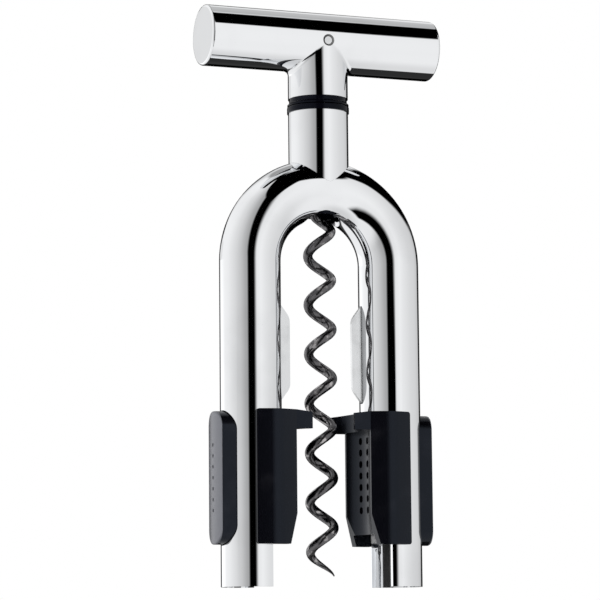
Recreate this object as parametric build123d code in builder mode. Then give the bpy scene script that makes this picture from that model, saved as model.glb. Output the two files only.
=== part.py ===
"""A self-pulling corkscrew: a bent-tube frame, two sprung bottle jaws and a T handle that turns the worm.

Millimetres. +Z runs up the worm's axis, X from leg to leg and along the handle bar, and -Y is the front.
The origin is on the worm's axis, level with the feet of the two legs.
"""

import os
from math import ceil, cos, pi, sin, sqrt

from build123d import *

os.makedirs("parts", exist_ok=True)

SIDES = (("left", -1), ("right", 1))

# Fits and clearances
cut_overrun = 1.0
fit_clearance = 0.02
running_clearance = 0.06
slide_clearance = 0.3
thrust_clearance = 0.2

# Bent tube frame
tube_radius = 9.0
tube_wall = 1.2
leg_offset = 22.0
leg_height = 94.7

# Neck and its bushes
neck_radius = 8.9
neck_wall = 1.2
neck_rise = 14.0
upper_bush_flange_radius = 9.2
upper_bush_flange_height = 1.8
upper_bush_length = 10.0
lower_bush_radius = 6.0
lower_bush_recess = 1.3
lower_bush_length = 9.0
lower_bush_collar_height = 4.0
mouth_radius = 5.4
mouth_depth = 3.5
bush_edge_break = 0.3

# Handle
bar_radius = 9.0
bar_length = 72.5
bar_wall = 1.6
bar_bore_depth = 23.0
stem_radius = 8.9
stem_length = 17.1
tee_fillet = 1.5
cap_rim = 0.8
cap_spigot = 5.0
cap_wall = 1.5
cap_edge_round = 0.7
handle_pin_radius = 1.15
handle_pin_drop = 0.7
handle_pin_recess = 0.35
handle_pin_sink_radius = 1.8
handle_pin_sink_depth = 0.65
handle_washer_height = 2.2
handle_washer_top_radius = 8.6
handle_washer_bottom_radius = 9.1
handle_washer_lip = 0.5

# Spindle and what holds it in the neck
spindle_radius = 4.0
spindle_top_gap = 4.0
thrust_washer_radius = 6.8
thrust_washer_height = 1.0
ring_radius = 5.6
ring_height = 1.0
ring_groove_depth = 0.7
ring_mouth_width = 3.4

# Worm
wire_radius = 1.4
helix_radius = 3.45
helix_pitch = 14.55
tip_height = 3.2
tip_angle = 353.0
tip_radius = 0.2
tip_taper_turns = 0.5
tip_sections = 7
run_in_drop = 2.0
run_in_height = 7.6
run_in_turns = 0.5
shank_gap = 0.5
shank_length = 7.0
arcs_per_turn = 4

# Cork fins
fin_thickness = 1.2
fin_reach = 3.15
fin_tab = 2.0
fin_bottom = 53.7
fin_height = 29.0
fin_end_slope = 4.2
fin_corner_round = 4.0

# Jaws
jaw_bottom = 12.1
jaw_height = 38.7
jaw_reach = 1.4
jaw_chamfer_run = 2.4
jaw_chamfer_rise = 8.8
jaw_travel = 1.5
cheek_proud = 0.75
cheek_ridge = 2.1
cheek_ridge_round = 7.0
cheek_swell = 0.1
cheek_end_wall = 0.8
cheek_overlap = 2.05
cheek_thickness = 2.1
cheek_corner_round = 0.8
grip_radius = 14.6
grip_wall = 3.75
grip_wall_lift = 3.2
hook_height = 5.4
hook_tip_x = 6.6
hook_drop = 0.6
cork_radius = 11.0
channel_head = 3.0
dimple_rows = 7
dimple_columns = 3
dimple_row_pitch = 3.4
dimple_column_angle = 15.0
dimple_height = 2.1
dimple_width = 1.5
dimple_depth = 1.0
dimple_middle = 32.7

# Push pads
pad_bottom = 12.1
pad_height = 38.4
pad_half_width = 5.8
pad_corner_round = 5.5
pad_proud = 2.8
pad_depth = 5.2
pad_face_half_width = 5.6
pad_crown = 0.75
pad_edge_round = 0.4
pad_dots = 7
pad_dot_pitch = 3.15
pad_dot_radius = 0.55
pad_dot_depth = 0.35
post_radius = 1.8
post_spacing = 19.0
post_socket_depth = 2.2

# Spring carriers, their pins and the jaw springs
carrier_foot_gap = 5.0
carrier_head_gap = 2.0
carrier_pin_radius = 1.0
carrier_pin_inset = 1.0
carrier_pin_recess = 0.3
spring_pocket_depth = 4.5
spring_wire_radius = 0.25
spring_radius = 2.7
spring_room = 0.4
spring_turns = 4
spring_end_gap = 0.05

# Heights up the worm's axis
bore_radius = tube_radius - tube_wall
crown_axis_z = leg_height + leg_offset
crown_under_z = crown_axis_z - tube_radius
neck_top_z = crown_axis_z + tube_radius + neck_rise
flange_top_z = neck_top_z + upper_bush_flange_height
washer_bottom_z = flange_top_z + thrust_clearance
washer_top_z = washer_bottom_z + handle_washer_height
bar_axis_z = washer_top_z + stem_length
handle_pin_z = bar_axis_z - handle_pin_drop
upper_bush_bottom_z = neck_top_z - upper_bush_length
thrust_washer_z = upper_bush_bottom_z - thrust_clearance - thrust_washer_height
ring_z = thrust_washer_z - ring_height
lower_bush_z = crown_under_z + lower_bush_recess
lower_bush_top_z = lower_bush_z + lower_bush_length + lower_bush_collar_height
run_in_z = lower_bush_z - run_in_drop
shank_z = run_in_z + run_in_height
spindle_bottom_z = shank_z + shank_gap
spindle_top_z = bar_axis_z + spindle_top_gap

# Places across the frame
bend_axis = Axis((0, 0, leg_height), (0, -1, 0))
neck_bore = neck_radius - neck_wall
core_x = grip_radius + grip_wall
channel_x = core_x + slide_clearance
jaw_half_width = tube_radius + cheek_proud
jaw_inner_x = leg_offset - tube_radius - jaw_reach
jaw_top = jaw_bottom + jaw_height
hook_under = jaw_top - hook_height
channel_top = jaw_top - channel_head
tube_room_radius = tube_radius + slide_clearance
cheek_end_x = leg_offset + cheek_overlap
cheek_end_half_width = tube_room_radius + cheek_end_wall
ridge_x = (jaw_inner_x + cheek_end_x) / 2
ridge_half_width = jaw_half_width + cheek_ridge
pad_face_x = leg_offset + tube_radius + pad_proud
pad_rim_x = pad_face_x - pad_crown
pad_back_x = pad_face_x - pad_depth
pad_middle = pad_bottom + pad_height / 2
carrier_face_x = pad_back_x - jaw_travel - slide_clearance
pocket_x = carrier_face_x - spring_pocket_depth
post_end_x = core_x - post_socket_depth + fit_clearance
spring_pocket_radius = spring_radius + spring_wire_radius + spring_room
post_heights = (pad_middle - post_spacing / 2, pad_middle + post_spacing / 2)


def turn_path(point_at, turns, first=0.0):
    """Lay tangent arcs, two to each quarter turn or less, along a curve given as a function of turns."""
    count = ceil((turns - first) * arcs_per_turn)
    steps = [first + (turns - first) * step / count for step in range(count + 1)]
    nudge = (turns - first) / count / 1000
    for start_turn, end_turn in zip(steps, steps[1:]):
        start = point_at(start_turn)
        end = point_at(end_turn)
        leave = (point_at(start_turn + nudge) - point_at(start_turn - nudge)).normalized()
        arrive = (point_at(end_turn + nudge) - point_at(end_turn - nudge)).normalized()
        chord = end - start
        along = chord.dot(leave + arrive)
        spread = 2 * (1 - leave.dot(arrive))
        reach = (sqrt(along**2 + spread * chord.dot(chord)) - along) / spread
        near = start + leave * reach
        far = end - arrive * reach
        middle = (near + far) * 0.5
        TangentArc(start, middle, tangent=leave)
        TangentArc(middle, end, tangent=(far - near).normalized())


def least_self_gap(points, wire, apart):
    """Least clear distance from a wire to itself, between points further apart along it than given."""
    least = None
    for first, here in enumerate(points):
        for there in points[first + apart :]:
            gap = (there - here).length - 2 * wire
            least = gap if least is None else min(least, gap)
    return least


# Bent tube: two legs and the crown, open to the jaws below, with pad windows and fin slots
with BuildPart() as frame_arch:
    with BuildSketch(Plane.XY) as leg_sections:
        with Locations((-leg_offset, 0), (leg_offset, 0)):
            Circle(tube_radius)
            Circle(bore_radius, mode=Mode.SUBTRACT)
    extrude(amount=leg_height)
    with BuildSketch(Plane.XY.offset(leg_height)) as crown_section:
        with Locations((leg_offset, 0)):
            Circle(tube_radius)
            Circle(bore_radius, mode=Mode.SUBTRACT)
    revolve(axis=bend_axis, revolution_arc=180)
    for side, sign in SIDES:
        with BuildSketch(Plane.XY.offset(-cut_overrun)) as channel_cut:
            with Locations((sign * (channel_x - tube_radius), 0)):
                Rectangle(2 * tube_radius, 2 * (tube_radius + cut_overrun))
        extrude(amount=channel_top + cut_overrun, mode=Mode.SUBTRACT)
        pad_plane = Plane((sign * leg_offset, 0, pad_middle), x_dir=(0, 1, 0), z_dir=(sign, 0, 0))
        with BuildSketch(pad_plane) as window_cut:
            RectangleRounded(
                2 * (pad_half_width + slide_clearance),
                pad_height + 2 * slide_clearance,
                pad_corner_round + slide_clearance,
            )
        extrude(amount=tube_radius + cut_overrun, mode=Mode.SUBTRACT)
        with BuildSketch(Plane.XZ) as fin_slot:
            with Locations((sign * (leg_offset - tube_radius), fin_bottom + fin_height / 2)):
                Rectangle(2 * fin_tab + 2 * fit_clearance, fin_height + 2 * fit_clearance)
        extrude(amount=fin_thickness / 2 + fit_clearance, both=True, mode=Mode.SUBTRACT)
        with BuildSketch(Plane.XZ) as pin_hole:
            with Locations((sign * (leg_offset - carrier_pin_inset), pad_middle)):
                Circle(carrier_pin_radius + fit_clearance)
        extrude(amount=tube_radius + cut_overrun, both=True, mode=Mode.SUBTRACT)
    with BuildSketch(Plane.XY.offset(crown_axis_z)) as neck_hole:
        Circle(neck_bore)
    extrude(amount=tube_radius + cut_overrun, mode=Mode.SUBTRACT)
    with BuildSketch(Plane.XY.offset(crown_axis_z)) as bush_hole:
        Circle(lower_bush_radius + fit_clearance)
    extrude(amount=-(leg_offset - tube_radius), mode=Mode.SUBTRACT)
frame_arch.part.label = "frame_arch"
export_step(frame_arch.part, "parts/frame_arch.step")

# Neck sleeve, saddled on the crown
with BuildPart() as neck_sleeve:
    with BuildSketch(Plane.XY.offset(crown_axis_z)) as neck_section:
        Circle(neck_radius)
    extrude(amount=neck_top_z - crown_axis_z)
    with BuildSketch(Plane.XY.offset(leg_height)) as saddle_section:
        with Locations((leg_offset, 0)):
            Circle(tube_radius + fit_clearance)
    revolve(axis=bend_axis, revolution_arc=180, mode=Mode.SUBTRACT)
    with BuildSketch(Plane.XY.offset(crown_axis_z)) as neck_bore_section:
        Circle(neck_bore)
    extrude(amount=neck_top_z - crown_axis_z, mode=Mode.SUBTRACT)
neck_sleeve.part.label = "neck_sleeve"
export_step(neck_sleeve.part, "parts/neck_sleeve.step")

# Upper bush: its flange is the lower of the two dark rings
with BuildPart() as upper_neck_bush:
    with BuildSketch(Plane.XY.offset(upper_bush_bottom_z)) as upper_bush_body:
        Circle(neck_bore - fit_clearance)
    extrude(amount=upper_bush_length)
    with BuildSketch(Plane.XY.offset(neck_top_z)) as upper_bush_flange:
        Circle(upper_bush_flange_radius)
    extrude(amount=upper_bush_flange_height)
    fillet(upper_neck_bush.edges().filter_by(GeomType.CIRCLE).group_by(Axis.Z)[-1], bush_edge_break)
    with BuildSketch(Plane.XY.offset(upper_bush_bottom_z)) as upper_bush_bore:
        Circle(spindle_radius + running_clearance)
    extrude(amount=flange_top_z - upper_bush_bottom_z, mode=Mode.SUBTRACT)
upper_neck_bush.part.label = "upper_neck_bush"
export_step(upper_neck_bush.part, "parts/upper_neck_bush.step")

# Lower bush: a collar in the neck's bore and a flared mouth that the worm runs into
with BuildPart() as lower_neck_bush:
    with BuildSketch(Plane.XY.offset(lower_bush_z)) as lower_bush_body:
        Circle(lower_bush_radius)
    extrude(amount=lower_bush_length)
    with BuildSketch(Plane.XY.offset(lower_bush_z + lower_bush_length)) as lower_bush_collar:
        Circle(neck_bore - fit_clearance)
    extrude(amount=lower_bush_collar_height)
    with BuildSketch(Plane.XZ) as mouth_section:
        with BuildLine():
            Polyline(
                (0, lower_bush_z),
                (mouth_radius, lower_bush_z),
                (spindle_radius + running_clearance, lower_bush_z + mouth_depth),
                (spindle_radius + running_clearance, lower_bush_top_z),
                (0, lower_bush_top_z),
                close=True,
            )
        make_face()
    revolve(axis=Axis.Z, mode=Mode.SUBTRACT)
lower_neck_bush.part.label = "lower_neck_bush"
export_step(lower_neck_bush.part, "parts/lower_neck_bush.step")

# Cork fins: thin plates let into the legs, which stop the drawn cork from turning
for side, sign in SIDES:
    root_x = leg_offset - tube_radius
    with BuildPart() as cork_fin:
        with BuildSketch(Plane.XZ) as fin_outline:
            with BuildLine():
                Polyline(
                    (sign * (root_x + fin_tab), fin_bottom),
                    (sign * root_x, fin_bottom),
                    (sign * (root_x - fin_reach), fin_bottom + fin_end_slope),
                    (sign * (root_x - fin_reach), fin_bottom + fin_height - fin_end_slope),
                    (sign * root_x, fin_bottom + fin_height),
                    (sign * (root_x + fin_tab), fin_bottom + fin_height),
                    close=True,
                )
            make_face()
            inner_corners = fin_outline.vertices().group_by(Axis.X)[0 if sign > 0 else -1]
            fillet(inner_corners, fin_corner_round)
        extrude(amount=fin_thickness / 2, both=True)
    cork_fin.part.label = f"{side}_cork_fin"
    export_step(cork_fin.part, f"parts/{side}_cork_fin.step")

# Handle casting: the bar and its stem, bored for the spindle, the cross pin and the end caps
with BuildPart() as handle_tee:
    casting_half = bar_length / 2 - cap_rim
    with BuildSketch(Plane.YZ) as bar_section:
        with Locations((0, bar_axis_z)):
            Circle(bar_radius)
    extrude(amount=casting_half, both=True)
    with BuildSketch(Plane.XY.offset(washer_top_z)) as stem_section:
        Circle(stem_radius)
    extrude(amount=stem_length)
    curved_edges = handle_tee.edges().filter_by(GeomType.LINE, reverse=True)
    tee_seam = curved_edges.filter_by(GeomType.CIRCLE, reverse=True)
    fillet(tee_seam, tee_fillet)
    for side, sign in SIDES:
        bar_end = Plane((sign * casting_half, 0, bar_axis_z), x_dir=(0, 1, 0), z_dir=(sign, 0, 0))
        with BuildSketch(bar_end) as bar_bore:
            Circle(bar_radius - bar_wall)
        extrude(amount=-bar_bore_depth, mode=Mode.SUBTRACT)
    with BuildSketch(Plane.XY.offset(washer_top_z)) as spindle_bore:
        Circle(spindle_radius + fit_clearance)
    extrude(amount=spindle_top_z - washer_top_z + fit_clearance, mode=Mode.SUBTRACT)
    with BuildSketch(Plane.XZ) as cross_hole:
        with Locations((0, handle_pin_z)):
            Circle(handle_pin_radius + fit_clearance)
    extrude(amount=bar_radius + cut_overrun, both=True, mode=Mode.SUBTRACT)
    for face in (-1, 1):
        sink_floor_y = face * (bar_radius - handle_pin_sink_depth)
        with BuildSketch(Plane.YZ) as pin_sink:
            with BuildLine():
                Polyline(
                    (face * (bar_radius + cut_overrun), handle_pin_z),
                    (face * (bar_radius + cut_overrun), handle_pin_z + handle_pin_sink_radius),
                    (face * bar_radius, handle_pin_z + handle_pin_sink_radius),
                    (sink_floor_y, handle_pin_z + handle_pin_radius),
                    (sink_floor_y, handle_pin_z),
                    close=True,
                )
            make_face()
        revolve(axis=Axis((0, 0, handle_pin_z), (0, 1, 0)), mode=Mode.SUBTRACT)
handle_tee.part.label = "handle_tee"
export_step(handle_tee.part, "parts/handle_tee.step")

# End caps of the bar
for side, sign in SIDES:
    cap_plane = Plane((sign * casting_half, 0, bar_axis_z), x_dir=(0, 1, 0), z_dir=(sign, 0, 0))
    with BuildPart() as bar_cap:
        with BuildSketch(cap_plane) as cap_disc:
            Circle(bar_radius)
        extrude(amount=cap_rim)
        fillet(bar_cap.edges().group_by(Axis.X)[-1 if sign > 0 else 0], cap_edge_round)
        with BuildSketch(cap_plane) as spigot_section:
            Circle(bar_radius - bar_wall - fit_clearance)
            Circle(bar_radius - bar_wall - cap_wall, mode=Mode.SUBTRACT)
        extrude(amount=-cap_spigot)
    bar_cap.part.label = f"{side}_bar_cap"
    export_step(bar_cap.part, f"parts/{side}_bar_cap.step")

# Cross pin through the bar and the spindle, its ends rounded with the bar and sunk a little
with BuildPart() as handle_pin:
    with BuildSketch(Plane.XZ) as pin_section:
        with Locations((0, handle_pin_z)):
            Circle(handle_pin_radius)
    extrude(amount=bar_radius, both=True)
    with BuildSketch(Plane.YZ) as pin_trim:
        with Locations((0, bar_axis_z)):
            Circle(bar_radius - handle_pin_recess)
    extrude(amount=handle_pin_radius + cut_overrun, both=True, mode=Mode.INTERSECT)
handle_pin.part.label = "handle_pin"
export_step(handle_pin.part, "parts/handle_pin.step")

# Upper dark ring, under the stem
with BuildPart() as handle_washer:
    with BuildSketch(Plane.XZ) as washer_section:
        with BuildLine():
            Polyline(
                (spindle_radius + fit_clearance, washer_bottom_z),
                (handle_washer_bottom_radius, washer_bottom_z),
                (handle_washer_bottom_radius, washer_bottom_z + handle_washer_lip),
                (handle_washer_top_radius, washer_bottom_z + 2 * handle_washer_lip),
                (handle_washer_top_radius, washer_top_z),
                (spindle_radius + fit_clearance, washer_top_z),
                close=True,
            )
        make_face()
    revolve(axis=Axis.Z)
handle_washer.part.label = "handle_washer"
export_step(handle_washer.part, "parts/handle_washer.step")

# Spindle: pinned in the handle, grooved for the retaining ring and bored for the worm's shank
with BuildPart() as spindle:
    with BuildSketch(Plane.XY.offset(spindle_bottom_z)) as spindle_section:
        Circle(spindle_radius)
    extrude(amount=spindle_top_z - spindle_bottom_z)
    with BuildSketch(Plane.XY.offset(ring_z - fit_clearance)) as groove_section:
        Circle(spindle_radius)
        Circle(spindle_radius - ring_groove_depth, mode=Mode.SUBTRACT)
    extrude(amount=ring_height + 2 * fit_clearance, mode=Mode.SUBTRACT)
    with BuildSketch(Plane.XY.offset(spindle_bottom_z)) as shank_bore:
        Circle(wire_radius + fit_clearance)
    extrude(amount=shank_length + fit_clearance, mode=Mode.SUBTRACT)
    with BuildSketch(Plane.XZ) as spindle_cross_hole:
        with Locations((0, handle_pin_z)):
            Circle(handle_pin_radius + fit_clearance)
    extrude(amount=spindle_radius + cut_overrun, both=True, mode=Mode.SUBTRACT)
spindle.part.label = "spindle"
export_step(spindle.part, "parts/spindle.step")

# Thrust washer and open retaining ring, under the upper bush
with BuildPart() as thrust_washer:
    with BuildSketch(Plane.XY.offset(thrust_washer_z)) as thrust_section:
        Circle(thrust_washer_radius)
        Circle(spindle_radius + running_clearance, mode=Mode.SUBTRACT)
    extrude(amount=thrust_washer_height)
thrust_washer.part.label = "thrust_washer"
export_step(thrust_washer.part, "parts/thrust_washer.step")

with BuildPart() as retaining_ring:
    with BuildSketch(Plane.XY.offset(ring_z)) as ring_section:
        Circle(ring_radius)
        Circle(spindle_radius - ring_groove_depth + fit_clearance, mode=Mode.SUBTRACT)
        with Locations((0, ring_radius)):
            Rectangle(ring_mouth_width, 2 * ring_radius, mode=Mode.SUBTRACT)
    extrude(amount=ring_height)
retaining_ring.part.label = "retaining_ring"
export_step(retaining_ring.part, "parts/retaining_ring.step")

# Worm: a right-handed helix that tapers to its tip and runs in to a straight shank
helix_turns = (run_in_z - tip_height) / helix_pitch


def worm_point(turn):
    """Point of the worm's centre line, counted in turns from its tip."""
    angle = tip_angle * pi / 180 + 2 * pi * turn
    inward = min(max((turn - helix_turns) / run_in_turns, 0), 1)
    radius = helix_radius * (1 + cos(pi * inward)) / 2
    height = tip_height + helix_pitch * min(turn, helix_turns)
    height += max(turn - helix_turns, 0) * run_in_height / run_in_turns
    return Vector(radius * cos(angle), radius * sin(angle), height)


def worm_plane(turn):
    """Plane across the worm's wire."""
    nudge = tip_taper_turns / 1000
    ahead = worm_point(turn + nudge) - worm_point(turn - nudge)
    return Plane(worm_point(turn), z_dir=ahead)


with BuildPart() as worm:
    with BuildLine() as worm_path:
        turn_path(worm_point, helix_turns, first=tip_taper_turns)
        turn_path(worm_point, helix_turns + run_in_turns, first=helix_turns)
        Line((0, 0, shank_z), (0, 0, spindle_bottom_z + shank_length))
    with BuildSketch(worm_plane(tip_taper_turns)) as wire_section:
        Circle(wire_radius)
    sweep(sections=wire_section.sketch, path=worm_path.line)
    taper_sections = []
    for section in range(tip_sections):
        root_share = section / (tip_sections - 1)
        with BuildSketch(worm_plane(tip_taper_turns * root_share)) as taper_section:
            Circle(tip_radius + (wire_radius - tip_radius) * root_share)
        taper_sections.append(taper_section.sketch)
    loft(sections=taper_sections)
worm.part.label = "worm"
export_step(worm.part, "parts/worm.step")
worm_steps = 24
worm_samples = [worm_point(step / worm_steps) for step in range(ceil(helix_turns * worm_steps))]
worm_self_gap = least_self_gap(worm_samples, wire_radius, worm_steps // 2)
print("worm: least gap of the wire to itself", round(worm_self_gap, 2))

# Jaws: ridged cheeks beside the leg, a hollow grip for the bottle's lip and hooks that sit on its rim
for side, sign in SIDES:
    leg_x = sign * leg_offset
    with BuildPart() as jaw:
        with BuildSketch(Plane.XZ) as jaw_profile:
            with BuildLine():
                Polyline(
                    (sign * cheek_end_x, jaw_bottom),
                    (sign * (jaw_inner_x + jaw_chamfer_run), jaw_bottom),
                    (sign * jaw_inner_x, jaw_bottom + jaw_chamfer_rise),
                    (sign * jaw_inner_x, hook_under),
                    (sign * hook_tip_x, hook_under),
                    (sign * hook_tip_x, jaw_top - hook_drop),
                    (sign * jaw_inner_x, jaw_top),
                    (sign * cheek_end_x, jaw_top),
                    close=True,
                )
            make_face()
        extrude(amount=ridge_half_width, both=True)
        with BuildSketch(Plane.XY.offset(jaw_bottom)) as cheek_section:
            with BuildLine():
                for face in (-1, 1):
                    tip = (sign * hook_tip_x, face * jaw_half_width)
                    inner = (sign * jaw_inner_x, face * jaw_half_width)
                    ridge = (sign * ridge_x, face * ridge_half_width)
                    end = (sign * cheek_end_x, face * cheek_end_half_width)
                    Line((sign * hook_tip_x, 0), tip)
                    Line(tip, inner)
                    SagittaArc(inner, ridge, sign * face * cheek_swell)
                    SagittaArc(ridge, end, sign * face * cheek_swell)
                    Line(end, (sign * cheek_end_x, 0))
            make_face()
            ridges = cheek_section.vertices().group_by(Axis.Y)
            fillet(ridges[0] + ridges[-1], cheek_ridge_round)
        extrude(amount=jaw_height, mode=Mode.INTERSECT)
        cheek_ends = jaw.edges().filter_by(Axis.Y).group_by(Axis.X)[-1 if sign > 0 else 0]
        fillet(cheek_ends, cheek_corner_round)
        with BuildSketch(Plane.XY.offset(jaw_bottom - cut_overrun)) as tube_room:
            with Locations((leg_x, 0)):
                Circle(tube_room_radius)
            with Locations((sign * (leg_offset + tube_room_radius / 2), 0)):
                Rectangle(tube_room_radius, 2 * tube_room_radius)
            with Locations((sign * (core_x + tube_room_radius), 0)):
                Rectangle(2 * tube_room_radius, 2 * tube_room_radius, mode=Mode.INTERSECT)
        extrude(amount=jaw_height + 2 * cut_overrun, mode=Mode.SUBTRACT)
        with BuildSketch(Plane.XY.offset(channel_top - slide_clearance)) as collar_room:
            with Locations((leg_x, 0)):
                Circle(tube_room_radius)
        extrude(amount=channel_head + slide_clearance + cut_overrun, mode=Mode.SUBTRACT)
        with BuildSketch(Plane.XY.offset(jaw_bottom - cut_overrun)) as grip_cut:
            Circle(grip_radius)
        extrude(amount=hook_under - jaw_bottom + cut_overrun, mode=Mode.SUBTRACT)
        with BuildSketch(Plane.XY.offset(hook_under)) as cork_cut:
            Circle(cork_radius)
        extrude(amount=hook_height + cut_overrun, mode=Mode.SUBTRACT)
        with BuildSketch(Plane.XY.offset(jaw_bottom - cut_overrun)) as wall_cut:
            with Locations((sign * (jaw_inner_x + core_x) / 2, 0)):
                Rectangle(core_x - jaw_inner_x + 2 * cut_overrun, 2 * (jaw_half_width - cheek_thickness))
        extrude(amount=grip_wall_lift + cut_overrun, mode=Mode.SUBTRACT)
        for column in range(dimple_columns):
            angle = (column - (dimple_columns - 1) / 2) * dimple_column_angle * pi / 180
            radial = Vector(sign * cos(angle), sin(angle), 0)
            wall_point = radial * (grip_radius - cut_overrun) + Vector(0, 0, dimple_middle)
            with BuildSketch(Plane(wall_point, x_dir=(0, 0, 1), z_dir=radial)) as dimples:
                with GridLocations(dimple_row_pitch, 0, dimple_rows, 1):
                    SlotOverall(dimple_height, dimple_width)
            extrude(amount=cut_overrun + dimple_depth, mode=Mode.SUBTRACT)
        core_plane = Plane((sign * core_x, 0, 0), x_dir=(0, 1, 0), z_dir=(sign, 0, 0))
        with BuildSketch(core_plane) as sockets:
            with Locations([(0, sign * height) for height in post_heights]):
                Circle(post_radius + fit_clearance)
        extrude(amount=-post_socket_depth, mode=Mode.SUBTRACT)
    jaw.part.label = f"{side}_jaw"
    export_step(jaw.part, f"parts/{side}_jaw.step")

# Push pads: a crowned, drafted button in the leg's window, with two posts that run through to the jaw
for side, sign in SIDES:
    pad_plane = Plane((sign * pad_back_x, 0, pad_middle), x_dir=(0, 1, 0), z_dir=(sign, 0, 0))
    with BuildPart() as pad:
        with BuildSketch(pad_plane) as pad_outline:
            RectangleRounded(2 * pad_half_width, pad_height, pad_corner_round)
        extrude(amount=pad_depth)
        with BuildSketch(Plane.XY.offset(pad_bottom)) as pad_section:
            with BuildLine():
                sides = Polyline(
                    (sign * pad_rim_x, -pad_face_half_width),
                    (sign * pad_back_x, -pad_half_width),
                    (sign * pad_back_x, pad_half_width),
                    (sign * pad_rim_x, pad_face_half_width),
                )
                ThreePointArc(sides @ 1, (sign * pad_face_x, 0), sides @ 0)
            make_face()
        extrude(amount=pad_height, mode=Mode.INTERSECT)
        outer_face = pad.faces().sort_by(Axis.X)[-1 if sign > 0 else 0]
        fillet(outer_face.edges(), pad_edge_round)
        with BuildSketch(pad_plane) as posts:
            with Locations([(0, height - pad_middle) for height in post_heights]):
                Circle(post_radius)
        extrude(amount=post_end_x - pad_back_x)
        face_plane = Plane((sign * pad_face_x, 0, pad_middle), x_dir=(0, 1, 0), z_dir=(sign, 0, 0))
        with BuildSketch(face_plane) as dots:
            with GridLocations(0, pad_dot_pitch, 1, pad_dots):
                Circle(pad_dot_radius)
        extrude(amount=-pad_dot_depth, mode=Mode.SUBTRACT)
    pad.part.label = f"{side}_pad"
    export_step(pad.part, f"parts/{side}_pad.step")

# Spring carriers: blocks pinned inside the legs, which guide the posts and seat the springs
for side, sign in SIDES:
    carrier_plane = Plane((sign * carrier_face_x, 0, pad_middle), x_dir=(0, 1, 0), z_dir=(sign, 0, 0))
    with BuildPart() as carrier:
        with BuildSketch(Plane.XY.offset(jaw_bottom + carrier_foot_gap)) as carrier_section:
            with Locations((sign * leg_offset, 0)):
                Circle(bore_radius - fit_clearance)
            with Locations((sign * (channel_x + carrier_face_x) / 2, 0)):
                Rectangle(carrier_face_x - channel_x, 2 * bore_radius, mode=Mode.INTERSECT)
        extrude(amount=channel_top - jaw_bottom - carrier_foot_gap - carrier_head_gap)
        with BuildSketch(carrier_plane) as pockets:
            with Locations([(0, height - pad_middle) for height in post_heights]):
                Circle(spring_pocket_radius)
        extrude(amount=-spring_pocket_depth, mode=Mode.SUBTRACT)
        with BuildSketch(carrier_plane) as post_holes:
            with Locations([(0, height - pad_middle) for height in post_heights]):
                Circle(post_radius + running_clearance)
        extrude(amount=channel_x - carrier_face_x, mode=Mode.SUBTRACT)
        with BuildSketch(Plane.XZ) as carrier_pin_hole:
            with Locations((sign * (leg_offset - carrier_pin_inset), pad_middle)):
                Circle(carrier_pin_radius + fit_clearance)
        extrude(amount=bore_radius, both=True, mode=Mode.SUBTRACT)
    carrier.part.label = f"{side}_spring_carrier"
    export_step(carrier.part, f"parts/{side}_spring_carrier.step")

    with BuildPart() as carrier_pin:
        with BuildSketch(Plane.XZ) as carrier_pin_section:
            with Locations((sign * (leg_offset - carrier_pin_inset), pad_middle)):
                Circle(carrier_pin_radius)
        extrude(amount=tube_radius - carrier_pin_recess, both=True)
    carrier_pin.part.label = f"{side}_carrier_pin"
    export_step(carrier_pin.part, f"parts/{side}_carrier_pin.step")

# Jaw springs: a pair of coils on the posts of each pad
spring_start_x = pocket_x + spring_wire_radius + spring_end_gap
spring_length = pad_back_x - pocket_x - 2 * (spring_wire_radius + spring_end_gap)
spring_pitch = spring_length / spring_turns
for side, sign in SIDES:
    with BuildPart() as jaw_springs:
        for post_height in post_heights:

            def spring_point(turn):
                """Point of the coil's centre line, counted in turns from the carrier."""
                across = spring_radius * cos(2 * pi * turn)
                above = post_height + spring_radius * sin(2 * pi * turn)
                return Vector(sign * (spring_start_x + spring_pitch * turn), across, above)

            with BuildLine() as spring_path:
                turn_path(spring_point, spring_turns)
            with BuildSketch(Plane(spring_path.line @ 0, z_dir=spring_path.line % 0)) as spring_section:
                Circle(spring_wire_radius)
            sweep(sections=spring_section.sketch, path=spring_path.line)
    jaw_springs.part.label = f"{side}_jaw_springs"
    export_step(jaw_springs.part, f"parts/{side}_jaw_springs.step")
spring_steps = 24
spring_samples = [spring_point(step / spring_steps) for step in range(spring_turns * spring_steps)]
spring_gap = least_self_gap(spring_samples, spring_wire_radius, spring_steps // 2)
print("jaw spring: least gap of the wire to itself", round(spring_gap, 2))
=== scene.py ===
"""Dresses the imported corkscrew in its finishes, winds its jaw springs and sets up the studio around it.

Laid out as an add-on and run as a script. Lengths are metres in the model's own frame: +Z runs up the worm,
X runs from leg to leg and along the handle bar, and the front faces -Y.
"""

from math import cos, pi, radians, sin

import bmesh
import bpy
from mathutils import Matrix, Vector


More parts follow.
